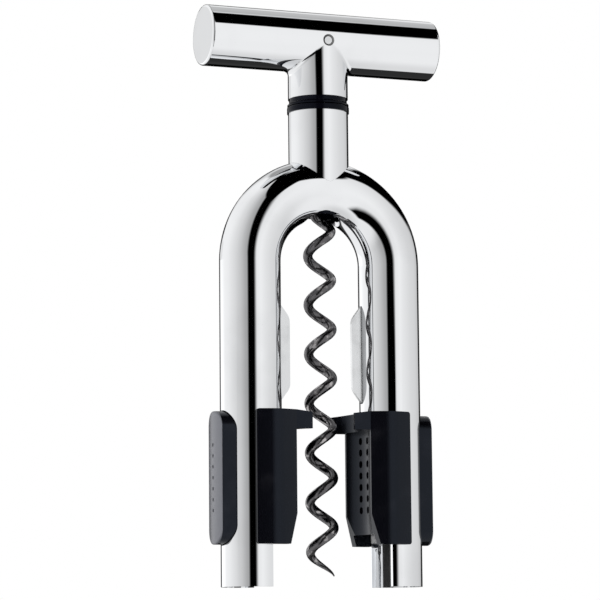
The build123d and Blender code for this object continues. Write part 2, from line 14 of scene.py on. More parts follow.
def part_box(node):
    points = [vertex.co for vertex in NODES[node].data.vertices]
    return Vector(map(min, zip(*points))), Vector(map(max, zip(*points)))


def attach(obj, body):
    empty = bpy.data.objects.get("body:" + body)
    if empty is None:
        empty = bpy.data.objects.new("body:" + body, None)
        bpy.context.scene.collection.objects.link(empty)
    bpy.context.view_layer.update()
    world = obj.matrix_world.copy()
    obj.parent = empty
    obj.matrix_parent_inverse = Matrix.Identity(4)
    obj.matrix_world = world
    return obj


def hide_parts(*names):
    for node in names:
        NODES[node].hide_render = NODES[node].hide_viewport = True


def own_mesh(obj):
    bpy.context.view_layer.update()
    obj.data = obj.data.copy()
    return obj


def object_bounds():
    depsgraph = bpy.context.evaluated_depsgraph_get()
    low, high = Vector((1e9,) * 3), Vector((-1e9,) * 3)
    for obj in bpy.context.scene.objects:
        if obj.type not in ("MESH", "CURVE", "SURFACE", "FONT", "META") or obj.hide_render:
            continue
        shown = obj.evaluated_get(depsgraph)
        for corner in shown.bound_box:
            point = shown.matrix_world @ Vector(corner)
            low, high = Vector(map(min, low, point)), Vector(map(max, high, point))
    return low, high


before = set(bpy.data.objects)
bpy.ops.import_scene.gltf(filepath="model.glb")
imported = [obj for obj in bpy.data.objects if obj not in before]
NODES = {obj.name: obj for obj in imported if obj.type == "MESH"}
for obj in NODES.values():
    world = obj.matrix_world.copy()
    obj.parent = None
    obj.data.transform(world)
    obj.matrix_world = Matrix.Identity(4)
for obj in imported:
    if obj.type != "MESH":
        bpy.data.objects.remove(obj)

bl_info = {
    "name": "Corkscrew dressing",
    "version": (1, 0, 0),
    "blender": (4, 5, 0),
    "location": "3D View > Sidebar > Corkscrew",
    "description": "Finishes, jaw springs and studio of a tube-framed corkscrew",
    "category": "Object",
}

CAD_BOX = [list(corner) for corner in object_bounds()]
SIDES = (("left", -1), ("right", 1))

# Nodes by finish
CHROMED_NODES = ("neck_sleeve", "left_bar_cap", "right_bar_cap")
STEEL_NODES = (
    "left_cork_fin",
    "right_cork_fin",
    "handle_pin",
    "left_carrier_pin",
    "right_carrier_pin",
    "spindle",
    "thrust_washer",
    "retaining_ring",
)
JAW_NODES = ("left_jaw", "right_jaw")
PAD_NODES = ("left_pad", "right_pad")
BUSH_NODES = (
    "upper_neck_bush",
    "lower_neck_bush",
    "handle_washer",
    "left_spring_carrier",
    "right_spring_carrier",
)

# Places on a piece that have a finish of their own, in metres
TUBE_WALL = 0.0012
# Where a strip of painted shade deep in the bores below the jaws starts and ends, out from the leg's axis,
# and its soft edge
DEEP_SHADE_START = 0.0007
DEEP_SHADE_END = 0.0026
DEEP_SHADE_EDGE = 0.0004
PIN_SINK_RADIUS = 0.0018
PIN_SINK_EDGE = 0.0001
PAD_FACE_DEPTH = 0.00095
PAD_FACE_EDGE = 0.0002

# Noise of the finishes: grains to the metre, detail, and the stretch along X, Y and Z where it has one
CHROME_PATCHES = (55.0, 4.0)
CHROME_WIPES = (900.0, 2.0, (1.0, 1.0, 0.06))
CHROME_RIPPLE = (70.0, 2.0)
STEEL_LINES = (5200.0, 2.0, (1.0, 1.0, 0.02))
STEEL_STAINS = (160.0, 4.0)
PLASTIC_GRAIN = (3600.0, 2.0)
PLASTIC_CLOUD = (140.0, 4.0)
BUSH_RINGS = (4200.0, 1.0, (0.02, 0.02, 1.0))
BUSH_CLOUD = (220.0, 3.0)
WORM_SPECKLE = (2600.0, 3.0)
WORM_STREAKS = (420.0, 4.0)
WIRE_DRAWING = (6000.0, 2.0)

# How strong the noise is where a mark starts to show, and where it shows in full
SMEAR_SHOWS = (0.48, 0.74)
STAIN_SHOWS = (0.45, 0.8)
RUB_SHOWS = (0.5, 0.78)
CLOUD_SHOWS = (0.45, 0.8)
THIN_SHOWS = (0.5, 0.72)

# What the marks do: a shade multiplies the colour, and the rest changes the roughness
SMEAR_SHADE = 0.94
STAIN_SHADE = 0.8
CLOUD_SHADE = 2.2
WIPE_SHARE = 0.25
LINE_ROUGHNESS = 0.16
GRAIN_ROUGHNESS = 0.1
RUB_SMOOTHNESS = 0.06
RING_ROUGHNESS = 0.06
SPECKLE_ROUGHNESS = 0.12
THIN_SMOOTHNESS = 0.05
DRAWING_ROUGHNESS = 0.12

# How much of a push face is painted pale as sheen in the hollows of its grain, and how much more on the
# grain's peaks
SHEEN_SHARE = 0.8
SHEEN_PEAKS = 0.2

# Jaw springs: steps in a turn, sides of the wire, and shut pitch in wire radii
COIL_STEPS = 28
WIRE_SIDES = 10
SHUT_PITCH = 2.1

# Floor, lamps and camera, in metres
FLOOR_DROP = -0.0002
KEY_PLACE = (-0.8, -0.32, 0.22)
KEY_SIDE = 0.5
TOP_PLACE = (0.35, 0.3, 0.9)
TOP_SIDE = 0.7
CLIP_START = 0.01

# Angles in degrees
HALF_TURN = 180
UPRIGHT = 90
DEGREES = HALF_TURN / pi

# The tent's walls by bearing from the front, in degrees, and how bright each place is
WALL_LIGHTS = (
    (-180, 0.7),
    (-165, 0.98),
    (-146, 1.0),
    (-125, 1.0),
    (-110, 0.96),
    (-80, 0.8),
    (-57, 0.64),
    (-38, 0.45),
    (-26, 0.4),
    (0, 0.9),
    (20, 0.98),
    (40, 0.88),
    (65, 0.79),
    (92, 0.74),
    (118, 0.6),
    (150, 0.9),
    (180, 0.7),
)
# The table: its brightness, what it loses straight below, and the drops in degrees where it dims and begins
TABLE_LIGHT = 0.96
TABLE_SHADE = 0.24
TABLE_SHADE_DROP = (48, 78)
TABLE_DROP = (12, 34)
# The dim top behind by bearing, with the lift where it begins in degrees and how bright it is
TOP_EDGES = (
    (-180, 48, 0.38),
    (-155, 66, 0.34),
    (-100, 68, 0.3),
    (-88, 88, 0.3),
    (88, 88, 0.5),
    (98, 50, 0.5),
    (140, 50, 0.58),
    (180, 48, 0.38),
)
TOP_SOFT = 3
# The dark opening in the roof by bearing, with the lift of its lower and upper edge in degrees
ROOF_EDGES = (
    (-115, 88, 90),
    (-60, 75, 90),
    (-30, 50, 90),
    (-4, 31, 90),
    (12, 43, 90),
    (28, 34, 90),
    (48, 46, 90),
    (62, 43, 90),
    (76, 35.5, 70),
    (91, 30.5, 65),
    (102, 25, 60),
    (117, 18, 52),
    (132, 15, 44),
    (146, 14, 28),
    (154, 14, 14),
)
# The roof's soft edges in degrees, what the lower one gains on the right, and the bearings where it does
ROOF_SOFT = 2
ROOF_SOFTER = 1.5
ROOF_SOFTER_FROM = (55, 80)
# Ends of a window that stays open past every angle
OPEN_LOW = (-200, -190)
OPEN_HIGH = (190, 200)
# Patches of the tent: how strong each is, then its windows by bearing and by lift in degrees
DARK_PATCHES = {
    "door": (1.0, (-33, -26, -7, 6), (-57, -50, *OPEN_HIGH)),
    "right_seam": (0.97, (115, 120, 150, 155), (*OPEN_LOW, 16, 28)),
    "back_seam_left": (0.95, (*OPEN_LOW, -173, -168), (*OPEN_LOW, 16, 28)),
    "back_seam_right": (0.95, (168, 173, *OPEN_HIGH), (*OPEN_LOW, 16, 28)),
    "back_corner": (0.85, (150, 155, *OPEN_HIGH), (*OPEN_LOW, 30, 40)),
    "table_behind": (0.96, (134, 138, 165, 169), (-60, -55, -20, -15)),
    "table_right": (1.0, (98, 104, *OPEN_HIGH), (-34, -30, -3, 1)),
    "dim_wall": (0.16, (-167, -163, -152, -148), (8, 10, 15, 17)),
}
BRIGHT_STRIP = (0.3, (-168, -160, -154, -126), (-7, -2, 5, 10))

# Sockets of a Mix node that mixes colours
FIRST_COLOUR = 6
SECOND_COLOUR = 7
MIXED_COLOUR = 2


class Value:
    """A node's output that adds Math nodes when it is used in an expression."""

    def __init__(self, graph, socket):
        self.graph = graph
        self.socket = socket

    def math(self, operation, *operands):
        return self.graph.add("ShaderNodeMath", {"operation": operation}, dict(enumerate(operands)))

    def __add__(self, other):
        return self.math("ADD", self, other)

    def __radd__(self, other):
        return self.math("ADD", other, self)

    def __sub__(self, other):
        return self.math("SUBTRACT", self, other)

    def __rsub__(self, other):
        return self.math("SUBTRACT", other, self)

    def __mul__(self, other):
        return self.math("MULTIPLY", self, other)

    def __rmul__(self, other):
        return self.math("MULTIPLY", other, self)

    def __truediv__(self, other):
        return self.math("DIVIDE", self, other)

    def __abs__(self):
        return self.math("ABSOLUTE", self)

    def larger(self, other):
        return self.math("MAXIMUM", self, other)


class Graph:
    """The node tree of one finish or of the world."""

    def __init__(self, tree):
        self.tree = tree
        tree.nodes.clear()

    def add(self, kind, settings=None, sockets=None, out=0):
        """Adds a node, its settings before its sockets' values or links, and returns the output asked for."""
        node = self.tree.nodes.new(kind)
        for name, setting in (settings or {}).items():
            if name == "stops":
                ramp = node.color_ramp
                while len(ramp.elements) < len(setting):
                    ramp.elements.new(1.0)
                for element, (place, colour) in zip(ramp.elements, setting):
                    element.position = place
                    element.color = (*colour, 1.0)
            else:
                setattr(node, name, setting)
        for name, value in (sockets or {}).items():
            if isinstance(value, Value):
                self.tree.links.new(value.socket, node.inputs[name])
            else:
                node.inputs[name].default_value = value
        return Value(self, node.outputs[out]) if node.outputs else node

    def place(self):
        """Where a point of the surface is, in the piece's own frame."""
        return self.add("ShaderNodeTexCoord", out="Object")

    def axes(self, where):
        """The three parts of a place."""
        node = self.add("ShaderNodeSeparateXYZ", {}, {0: where}).socket.node
        return [Value(self, node.outputs[axis]) for axis in "XYZ"]

    def noise(self, where, scale, detail, stretch=(1.0, 1.0, 1.0)):
        """Noise of that many grains to the metre, drawn out along an axis where its stretch is small."""
        spread = self.add("ShaderNodeVectorMath", {"operation": "MULTIPLY"}, {0: where, 1: stretch})
        sockets = {"Vector": spread, "Scale": scale, "Detail": detail}
        return self.add("ShaderNodeTexNoise", {"noise_dimensions": "3D"}, sockets, "Fac")

    def rise(self, value, low, high):
        """Climbs smoothly from 0 at the low end to 1 at the high end."""
        sockets = {"Value": value, "From Min": low, "From Max": high}
        return self.add("ShaderNodeMapRange", {"interpolation_type": "SMOOTHSTEP"}, sockets)

    def fall(self, value, low, high):
        """Drops smoothly from 1 at the low end to 0 at the high end."""
        return 1 - self.rise(value, low, high)

    def window(self, value, start, full, fading, end):
        """Climbs from 0 at its start to 1 where it is full, and from where it fades drops to 0 at its end."""
        return self.rise(value, start, full) * self.fall(value, fading, end)

    def blend(self, share, first, second):
        """Mixes two colours."""
        sockets = {"Factor": share, FIRST_COLOUR: first, SECOND_COLOUR: second}
        return self.add("ShaderNodeMix", {"data_type": "RGBA"}, sockets, MIXED_COLOUR)

    def bump(self, height, depth):
        """Normal of a relief whose height of 1 stands that deep."""
        return self.add("ShaderNodeBump", {}, {"Height": height, "Distance": depth, "Strength": 1.0})


def colour_of(tint, shade=1.0):
    """A colour property as a socket takes it, darker or lighter by a shade."""
    return (*(shade * part for part in tint), 1.0)


def new_finish(name):
    """A new material and the graph of its nodes."""
    finish = bpy.data.materials.new(name)
    finish.use_nodes = True
    return finish, Graph(finish.node_tree)


def close_finish(graph, **sockets):
    """Ends a finish in one shader, with its sockets' values or links."""
    named = {name.replace("_", " "): value for name, value in sockets.items()}
    shader = graph.add("ShaderNodeBsdfPrincipled", {}, named)
    graph.add("ShaderNodeOutputMaterial", {}, {"Surface": shader})


def dress(names, finish):
    """Gives CAD nodes a finish."""
    for name in names:
        mesh = NODES[name].data
        mesh.materials.clear()
        mesh.materials.append(finish)


class ChromeSizes(bpy.types.PropertyGroup):
    """Polished plating of the tubes and the handle."""

    tint: bpy.props.FloatVectorProperty(
        name="Tint", description="Colour of the plating", subtype="COLOR", default=(0.86, 0.87, 0.885)
    )
    gloss: bpy.props.FloatProperty(
        name="Roughness",
        description="Roughness of the freshly buffed plating",
        subtype="FACTOR",
        default=0.018,
    )
    haze: bpy.props.FloatProperty(
        name="Haze", description="Roughness that handling adds in patches", subtype="FACTOR", default=0.02
    )
    ripple: bpy.props.FloatProperty(
        name="Ripple", description="Depth of the buffing ripple", unit="LENGTH", precision=7, default=3e-6
    )
    bore_tint: bpy.props.FloatVectorProperty(
        name="Bore tint",
        description="Colour of the bores behind the jaws",
        subtype="COLOR",
        default=(0.92, 0.92, 0.92),
    )
    # Painted shade: the dark tint of a strip deep in the bores below the jaws, where the front wall shades
    # them
    deep_shade_tint: bpy.props.FloatVectorProperty(
        name="Seam tint",
        description="Colour of the weld seams inside",
        subtype="COLOR",
        default=(0.02, 0.02, 0.02),
    )
    sink_tint: bpy.props.FloatVectorProperty(
        name="Sink tint",
        description="Colour of the dull pin sinks",
        subtype="COLOR",
        default=(0.09, 0.09, 0.09),
    )
    dull: bpy.props.FloatProperty(
        name="Dull", description="Roughness where the buff can't reach", subtype="FACTOR", default=0.5
    )


class SteelSizes(bpy.types.PropertyGroup):
    """Ground steel of the fins, the pins and the turned pieces."""

    tint: bpy.props.FloatVectorProperty(
        name="Tint", description="Colour of the steel", subtype="COLOR", default=(0.74, 0.75, 0.76)
    )
    gloss: bpy.props.FloatProperty(
        name="Roughness", description="Roughness along the grinding lines", subtype="FACTOR", default=0.16
    )
    grain: bpy.props.FloatProperty(
        name="Grain depth",
        description="Depth of the grinding lines",
        unit="LENGTH",
        precision=7,
        default=4e-6,
    )


class PlasticSizes(bpy.types.PropertyGroup):
    """Moulded black plastic of the jaws and pads."""

    tint: bpy.props.FloatVectorProperty(
        name="Tint", description="Colour of the plastic", subtype="COLOR", default=(0.0016, 0.0016, 0.0026)
    )
    rubbed: bpy.props.FloatVectorProperty(
        name="Rubbed tint",
        description="Colour where the skin is rubbed",
        subtype="COLOR",
        default=(0.005, 0.005, 0.0065),
    )
    # Pale tint painted on the push faces as sheen
    pale: bpy.props.FloatVectorProperty(
        name="Push face tint",
        description="Colour of the push faces",
        subtype="COLOR",
        default=(0.085, 0.086, 0.095),
    )
    gloss: bpy.props.FloatProperty(
        name="Roughness", description="Roughness of the moulded skin", subtype="FACTOR", default=0.17
    )
    grain: bpy.props.FloatProperty(
        name="Grain depth",
        description="Depth of the spark-eroded grain",
        unit="LENGTH",
        precision=7,
        default=1.2e-5,
    )
    sheen: bpy.props.FloatProperty(
        name="Sheen", description="How strongly the skin reflects", subtype="FACTOR", default=0.27
    )
    sheen_tint: bpy.props.FloatVectorProperty(
        name="Sheen tint", description="Colour of the reflections", subtype="COLOR", default=(0.66, 0.78, 1.0)
    )


class BushSizes(bpy.types.PropertyGroup):
    """Turned bearing plastic of the bushes, the dark washer and the spring carriers."""

    tint: bpy.props.FloatVectorProperty(
        name="Tint", description="Colour of the plastic", subtype="COLOR", default=(0.0012, 0.0012, 0.0022)
    )
    gloss: bpy.props.FloatProperty(
        name="Roughness", description="Roughness of the turned face", subtype="FACTOR", default=0.08
    )
    grain: bpy.props.FloatProperty(
        name="Ring depth", description="Depth of the turning rings", unit="LENGTH", precision=7, default=1e-6
    )
    sheen: bpy.props.FloatProperty(
        name="Sheen", description="How strongly the face reflects", subtype="FACTOR", default=0.12
    )
    sheen_tint: bpy.props.FloatVectorProperty(
        name="Sheen tint", description="Colour of the reflections", subtype="COLOR", default=(0.66, 0.78, 1.0)
    )


class WormSizes(bpy.types.PropertyGroup):
    """Non-stick coat of the worm."""

    tint: bpy.props.FloatVectorProperty(
        name="Tint", description="Colour of the coat", subtype="COLOR", default=(0.125, 0.122, 0.127)
    )
    wear_and_sheen: bpy.props.FloatVectorProperty(
        name="Worn tint",
        description="Colour where corks thin the coat",
        subtype="COLOR",
        default=(0.52, 0.5, 0.5),
    )
    gloss: bpy.props.FloatProperty(
        name="Roughness", description="Roughness of the baked coat", subtype="FACTOR", default=0.17
    )
    grain: bpy.props.FloatProperty(
        name="Grain depth",
        description="Depth of the speckle in the coat",
        unit="LENGTH",
        precision=7,
        default=1.4e-5,
    )


class SpringSizes(bpy.types.PropertyGroup):
    """Jaw springs inside the legs."""

    wire_radius: bpy.props.FloatProperty(
        name="Wire radius",
        description="Radius of the spring wire",
        unit="LENGTH",
        precision=5,
        default=0.00025,
    )
    turns: bpy.props.FloatProperty(name="Turns", description="Turns from end to end", default=5.0)
    shut_turns: bpy.props.FloatProperty(name="Shut turns", description="Flat turns at each end", default=0.75)
    tint: bpy.props.FloatVectorProperty(
        name="Tint", description="Colour of the wire", subtype="COLOR", default=(0.55, 0.55, 0.56)
    )
    bright: bpy.props.FloatVectorProperty(
        name="Bright tint",
        description="Colour of the freshly drawn wire",
        subtype="COLOR",
        default=(0.66, 0.66, 0.67),
    )
    gloss: bpy.props.FloatProperty(
        name="Roughness", description="Roughness of the drawn wire", subtype="FACTOR", default=0.24
    )


class StudioSizes(bpy.types.PropertyGroup):
    """Camera, lamps and floor."""

    camera_reach: bpy.props.FloatProperty(
        name="Camera reach", description="From the worm's axis to the camera", unit="LENGTH", default=0.838033
    )
    camera_height: bpy.props.FloatProperty(
        name="Camera height", description="Camera above the feet", unit="LENGTH", default=-0.018932
    )
    camera_yaw: bpy.props.FloatProperty(
        name="Camera yaw",
        description="How far the camera stands to the left",
        unit="ROTATION",
        default=radians(22.384),
    )
    camera_pan: bpy.props.FloatProperty(
        name="Camera pan", description="How far it looks aside", unit="ROTATION", default=radians(-0.4)
    )
    camera_pitch: bpy.props.FloatProperty(
        name="Camera pitch", description="How far it looks up", unit="ROTATION", default=radians(7.013)
    )
    camera_roll: bpy.props.FloatProperty(
        name="Camera roll", description="Its lean", unit="ROTATION", default=radians(-0.525)
    )
    lens: bpy.props.FloatProperty(
        name="Lens", description="Focal length in millimetres", unit="CAMERA", default=172.09
    )
    floor_reach: bpy.props.FloatProperty(
        name="Floor reach", description="Half the floor's side", unit="LENGTH", default=1.2
    )
    floor_fade: bpy.props.FloatProperty(
        name="Floor fade", description="Where the floor starts to fade out", unit="LENGTH", default=0.15
    )
    floor_tint: bpy.props.FloatVectorProperty(
        name="Floor tint", description="Colour of the floor", subtype="COLOR", default=(0.82, 0.82, 0.82)
    )
    key_power: bpy.props.FloatProperty(
        name="Key lamp", description="Power of the key lamp", unit="POWER", default=12.0
    )
    top_power: bpy.props.FloatProperty(
        name="Top lamp", description="Power of the top lamp", unit="POWER", default=5.0
    )
    fill: bpy.props.FloatProperty(
        name="Fill", description="Light that comes from all sides", subtype="FACTOR", default=0.55
    )


class CorkscrewSizes(bpy.types.PropertyGroup):
    """Everything that a user would change."""

    chrome: bpy.props.PointerProperty(type=ChromeSizes)
    steel: bpy.props.PointerProperty(type=SteelSizes)
    plastic: bpy.props.PointerProperty(type=PlasticSizes)
    bush: bpy.props.PointerProperty(type=BushSizes)
    worm: bpy.props.PointerProperty(type=WormSizes)
    spring: bpy.props.PointerProperty(type=SpringSizes)
    studio: bpy.props.PointerProperty(type=StudioSizes)


def close_chrome(graph, sizes, bare_and_shade=None, bare_and_shade_tint=None):
    """Ends a finish in polished plating, with a share of the surface dull and in a tint of its own, such as
    the bores, the pin sinks and painted shade deep in the bores.
    """
    place = graph.place()
    wipes = graph.noise(place, *CHROME_WIPES)
    smear = graph.rise(graph.noise(place, *CHROME_PATCHES), *SMEAR_SHOWS)
    colour = graph.blend(smear, colour_of(sizes.tint), colour_of(sizes.tint, SMEAR_SHADE))
    rough = sizes.gloss + smear * sizes.haze + wipes * (sizes.haze * WIPE_SHARE)
    plated = 1.0
    if bare_and_shade:
        plated = 1 - bare_and_shade
        colour = graph.blend(bare_and_shade, colour, bare_and_shade_tint)
        rough = rough + bare_and_shade * (sizes.dull - rough)
    ripple = graph.bump(graph.noise(place, *CHROME_RIPPLE), sizes.ripple)
    close_finish(graph, Base_Color=colour, Metallic=plated, Roughness=rough, Normal=ripple)


def leg_insides(graph):
    """Shares of the legs' insides that aren't polished: painted shade deep in the bores below the jaws, and
    the bores behind the jaws.
    """
    low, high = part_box("frame_arch")
    tube_radius = (high.y - low.y) / 2
    x, y, z = graph.axes(graph.place())
    aside = abs(x) - (high.x - tube_radius)
    away = x.math("SQRT", aside * aside + y * y)
    inside = graph.fall(away, tube_radius - TUBE_WALL, tube_radius - TUBE_WALL / 2)
    jaw_bottom, jaw_top = (corner.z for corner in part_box("left_jaw"))
    inside = inside * graph.fall(z, jaw_top - TUBE_WALL, jaw_top)
    behind = inside * graph.rise(z, jaw_bottom + TUBE_WALL / 2, jaw_bottom + TUBE_WALL)
    along = graph.window(aside, DEEP_SHADE_START - DEEP_SHADE_EDGE, DEEP_SHADE_START, DEEP_SHADE_END, DEEP_SHADE_END + DEEP_SHADE_EDGE)
    # Painted shade: a dark strip on the back wall of the bore below the jaws
    deep_shade = graph.rise(y, 0.0, TUBE_WALL) * along
    return inside * deep_shade * (1 - behind), behind


def pin_sinks(graph):
    """Is 1 in the two sinks round the cross pin and in its hole, and 0 on the rest of the handle."""
    low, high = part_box("handle_pin")
    x, _, z = graph.axes(graph.place())
    above = z - (low.z + high.z) / 2
    away = x.math("SQRT", x * x + above * above)
    return graph.fall(away, PIN_SINK_RADIUS - PIN_SINK_EDGE, PIN_SINK_RADIUS)


class CORKSCREW_OT_chrome_tubes(bpy.types.Operator):
    """Plate the bent tube, the neck and the handle"""

    bl_idname = "corkscrew.chrome_tubes"
    bl_label = "Chrome the tubes and handle"

    def execute(self, context):
        sizes = context.scene.corkscrew.chrome
        finish, graph = new_finish("polished_chrome")
        close_chrome(graph, sizes)
        dress(CHROMED_NODES, finish)
        finish, graph = new_finish("tube_chrome")
        # The first share is painted shade deep in the bores below the jaws, the second the bores behind the
        # jaws
        deep_shades, bores = leg_insides(graph)
        bare_and_shade_tint = graph.blend(bores, colour_of(sizes.deep_shade_tint), colour_of(sizes.bore_tint))
        close_chrome(graph, sizes, deep_shades.larger(bores), bare_and_shade_tint)
        dress(("frame_arch",), finish)
        finish, graph = new_finish("handle_chrome")
        close_chrome(graph, sizes, pin_sinks(graph), colour_of(sizes.sink_tint))
        dress(("handle_tee",), finish)
        return {"FINISHED"}


class CORKSCREW_OT_grind_steel(bpy.types.Operator):
    """Give the fins, the pins and the turned pieces their ground steel"""

    bl_idname = "corkscrew.grind_steel"
    bl_label = "Grind the steel pieces"

    def execute(self, context):
        sizes = context.scene.corkscrew.steel
        finish, graph = new_finish("ground_steel")
        place = graph.place()
        lines = graph.noise(place, *STEEL_LINES)
        stain = graph.rise(graph.noise(place, *STEEL_STAINS), *STAIN_SHOWS)
        close_finish(
            graph,
            Base_Color=graph.blend(stain, colour_of(sizes.tint), colour_of(sizes.tint, STAIN_SHADE)),
            Metallic=1.0,
            Roughness=sizes.gloss + lines * LINE_ROUGHNESS,
            Normal=graph.bump(lines, sizes.grain),
        )
        dress(STEEL_NODES, finish)
        return {"FINISHED"}


def close_plastic(graph, sizes, wear_and_sheen=None):
    """Ends a finish in moulded plastic, with a share of the surface painted pale as sheen."""
    place = graph.place()
    grain = graph.noise(place, *PLASTIC_GRAIN)
    rub = graph.rise(graph.noise(place, *PLASTIC_CLOUD), *RUB_SHOWS)
    colour = graph.blend(rub, colour_of(sizes.tint), colour_of(sizes.rubbed))
    if wear_and_sheen:
        # Painted sheen: the push faces are made pale, a little more on the grain's peaks
        colour = graph.blend(wear_and_sheen * (SHEEN_SHARE + SHEEN_PEAKS * grain), colour, colour_of(sizes.pale))
    close_finish(
        graph,
        Base_Color=colour,
        Roughness=sizes.gloss + grain * GRAIN_ROUGHNESS - rub * RUB_SMOOTHNESS,
        Normal=graph.bump(grain, sizes.grain),
        Specular_IOR_Level=sizes.sheen,
        Specular_Tint=colour_of(sizes.sheen_tint),
    )


def push_face_sheen(graph):
    """Is 1 on the crowned faces of the pads that fingers press, which are painted pale as sheen, and 0 on
    their sides.
    """
    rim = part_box("right_pad")[1].x - PAD_FACE_DEPTH
    x, _, _ = graph.axes(graph.place())
    return graph.rise(abs(x), rim, rim + PAD_FACE_EDGE)


class CORKSCREW_OT_mould_jaws(bpy.types.Operator):
    """Give the jaws and pads their moulded black plastic"""

    bl_idname = "corkscrew.mould_jaws"
    bl_label = "Mould the jaws and pads"

    def execute(self, context):
        sizes = context.scene.corkscrew.plastic
        finish, graph = new_finish("moulded_black_plastic")
        close_plastic(graph, sizes)
        dress(JAW_NODES, finish)
        finish, graph = new_finish("pad_plastic")
        # The pads' push faces get a painted pale sheen
        close_plastic(graph, sizes, push_face_sheen(graph))
        dress(PAD_NODES, finish)
        return {"FINISHED"}


class CORKSCREW_OT_turn_bushes(bpy.types.Operator):
    """Give the bushes, the dark washer and the spring carriers their bearing plastic"""

    bl_idname = "corkscrew.turn_bushes"
    bl_label = "Turn the bushes"

    def execute(self, context):
        sizes = context.scene.corkscrew.bush
        finish, graph = new_finish("bearing_plastic")
        place = graph.place()
        rings = graph.noise(place, *BUSH_RINGS)
        cloud = graph.rise(graph.noise(place, *BUSH_CLOUD), *CLOUD_SHOWS)
        close_finish(
            graph,
            Base_Color=graph.blend(cloud, colour_of(sizes.tint), colour_of(sizes.tint, CLOUD_SHADE)),
            Roughness=sizes.gloss + rings * RING_ROUGHNESS,
            Normal=graph.bump(rings, sizes.grain),
            Specular_IOR_Level=sizes.sheen,
            Specular_Tint=colour_of(sizes.sheen_tint),
        )
        dress(BUSH_NODES, finish)
        return {"FINISHED"}


class CORKSCREW_OT_coat_worm(bpy.types.Operator):
    """Give the worm its baked non-stick coat"""

    bl_idname = "corkscrew.coat_worm"
    bl_label = "Coat the worm"

    def execute(self, context):
        sizes = context.scene.corkscrew.worm
        finish, graph = new_finish("baked_coat")
        place = graph.place()
        speckle = graph.noise(place, *WORM_SPECKLE)
        thin = graph.rise(graph.noise(place, *WORM_STREAKS), *THIN_SHOWS)
        close_finish(
            graph,
            Base_Color=graph.blend(thin, colour_of(sizes.tint), colour_of(sizes.wear_and_sheen)),
            Metallic=1.0,
            Roughness=sizes.gloss + speckle * SPECKLE_ROUGHNESS - thin * THIN_SMOOTHNESS,
            Normal=graph.bump(speckle, sizes.grain),
        )
        dress(("worm",), finish)
        return {"FINISHED"}


def draw_wire(sizes):
    """The finish of drawn spring wire."""
    finish, graph = new_finish("spring_wire")
    drawing = graph.noise(graph.place(), *WIRE_DRAWING)
    close_finish(
        graph,
        Base_Color=graph.blend(drawing, colour_of(sizes.tint), colour_of(sizes.bright)),
        Metallic=1.0,
        Roughness=sizes.gloss + drawing * DRAWING_ROUGHNESS,
    )
    return finish


def wind_coil(mesh, start, end, coil_radius, sizes):
    """Adds one coil to a mesh: flat turns at both ends and open turns between them."""
    along = end - start
    shut_pitch = SHUT_PITCH * sizes.wire_radius / along.length
    open_turns = sizes.turns - 2 * sizes.shut_turns
    open_pitch = (1 - 2 * sizes.shut_turns * shut_pitch) / open_turns
    steps = round(sizes.turns * COIL_STEPS)
    centres = []
    for step in range(steps + 1):
        turn = sizes.turns * step / steps
        first = min(turn, sizes.shut_turns)
        middle = min(max(turn - sizes.shut_turns, 0), open_turns)
        last = max(turn - sizes.shut_turns - open_turns, 0)
        share = (first + last) * shut_pitch + middle * open_pitch
        angle = 2 * pi * turn
        out = Vector((0.0, cos(angle), sin(angle)))
        centres.append((start + along * share + out * coil_radius, out))
    rings = []
    for step, (centre, out) in enumerate(centres):
        before = centres[max(step - 1, 0)][0]
        after = centres[min(step + 1, steps)][0]
        across = (after - before).normalized().cross(out)
        ring = []
        for side in range(WIRE_SIDES):
            turn = 2 * pi * side / WIRE_SIDES
            outward = out * cos(turn) + across * sin(turn)
            ring.append(mesh.verts.new(centre + outward * sizes.wire_radius))
        rings.append(ring)
    for ring, following in zip(rings, rings[1:]):
        for side in range(WIRE_SIDES):
            after = (side + 1) % WIRE_SIDES
            mesh.faces.new((ring[side], ring[after], following[after], following[side]))
    mesh.faces.new(rings[0][::-1])
    mesh.faces.new(rings[-1])
    bmesh.ops.recalc_face_normals(mesh, faces=mesh.faces)


class CORKSCREW_OT_wind_springs(bpy.types.Operator):
    """Wind the four jaw springs, with flat turns at their ends"""

    bl_idname = "corkscrew.wind_springs"
    bl_label = "Wind the jaw springs"

    def execute(self, context):
        sizes = context.scene.corkscrew.spring
        finish = draw_wire(sizes)
        for side, sign in SIDES:
            node = f"{side}_jaw_springs"
            low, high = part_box(node)
            coil_radius = (high.y - low.y) / 2 - sizes.wire_radius
            fixed_x, moving_x = (low.x, high.x) if sign > 0 else (high.x, low.x)
            half_height = coil_radius + sizes.wire_radius
            mesh = bmesh.new()
            for height in (low.z + half_height, high.z - half_height):
                start = Vector((fixed_x + sign * sizes.wire_radius, 0.0, height))
                end = Vector((moving_x - sign * sizes.wire_radius, 0.0, height))
                wind_coil(mesh, start, end, coil_radius, sizes)
            data = bpy.data.meshes.new(f"{side}_springs")
            mesh.to_mesh(data)
            mesh.free()
            data.polygons.foreach_set("use_smooth", [True] * len(data.polygons))
            data.materials.append(finish)
            springs = bpy.data.objects.new(f"{side}_springs", data)
            context.scene.collection.objects.link(springs)
            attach(springs, "frame")
            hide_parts(node)
            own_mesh(springs)
        return {"FINISHED"}


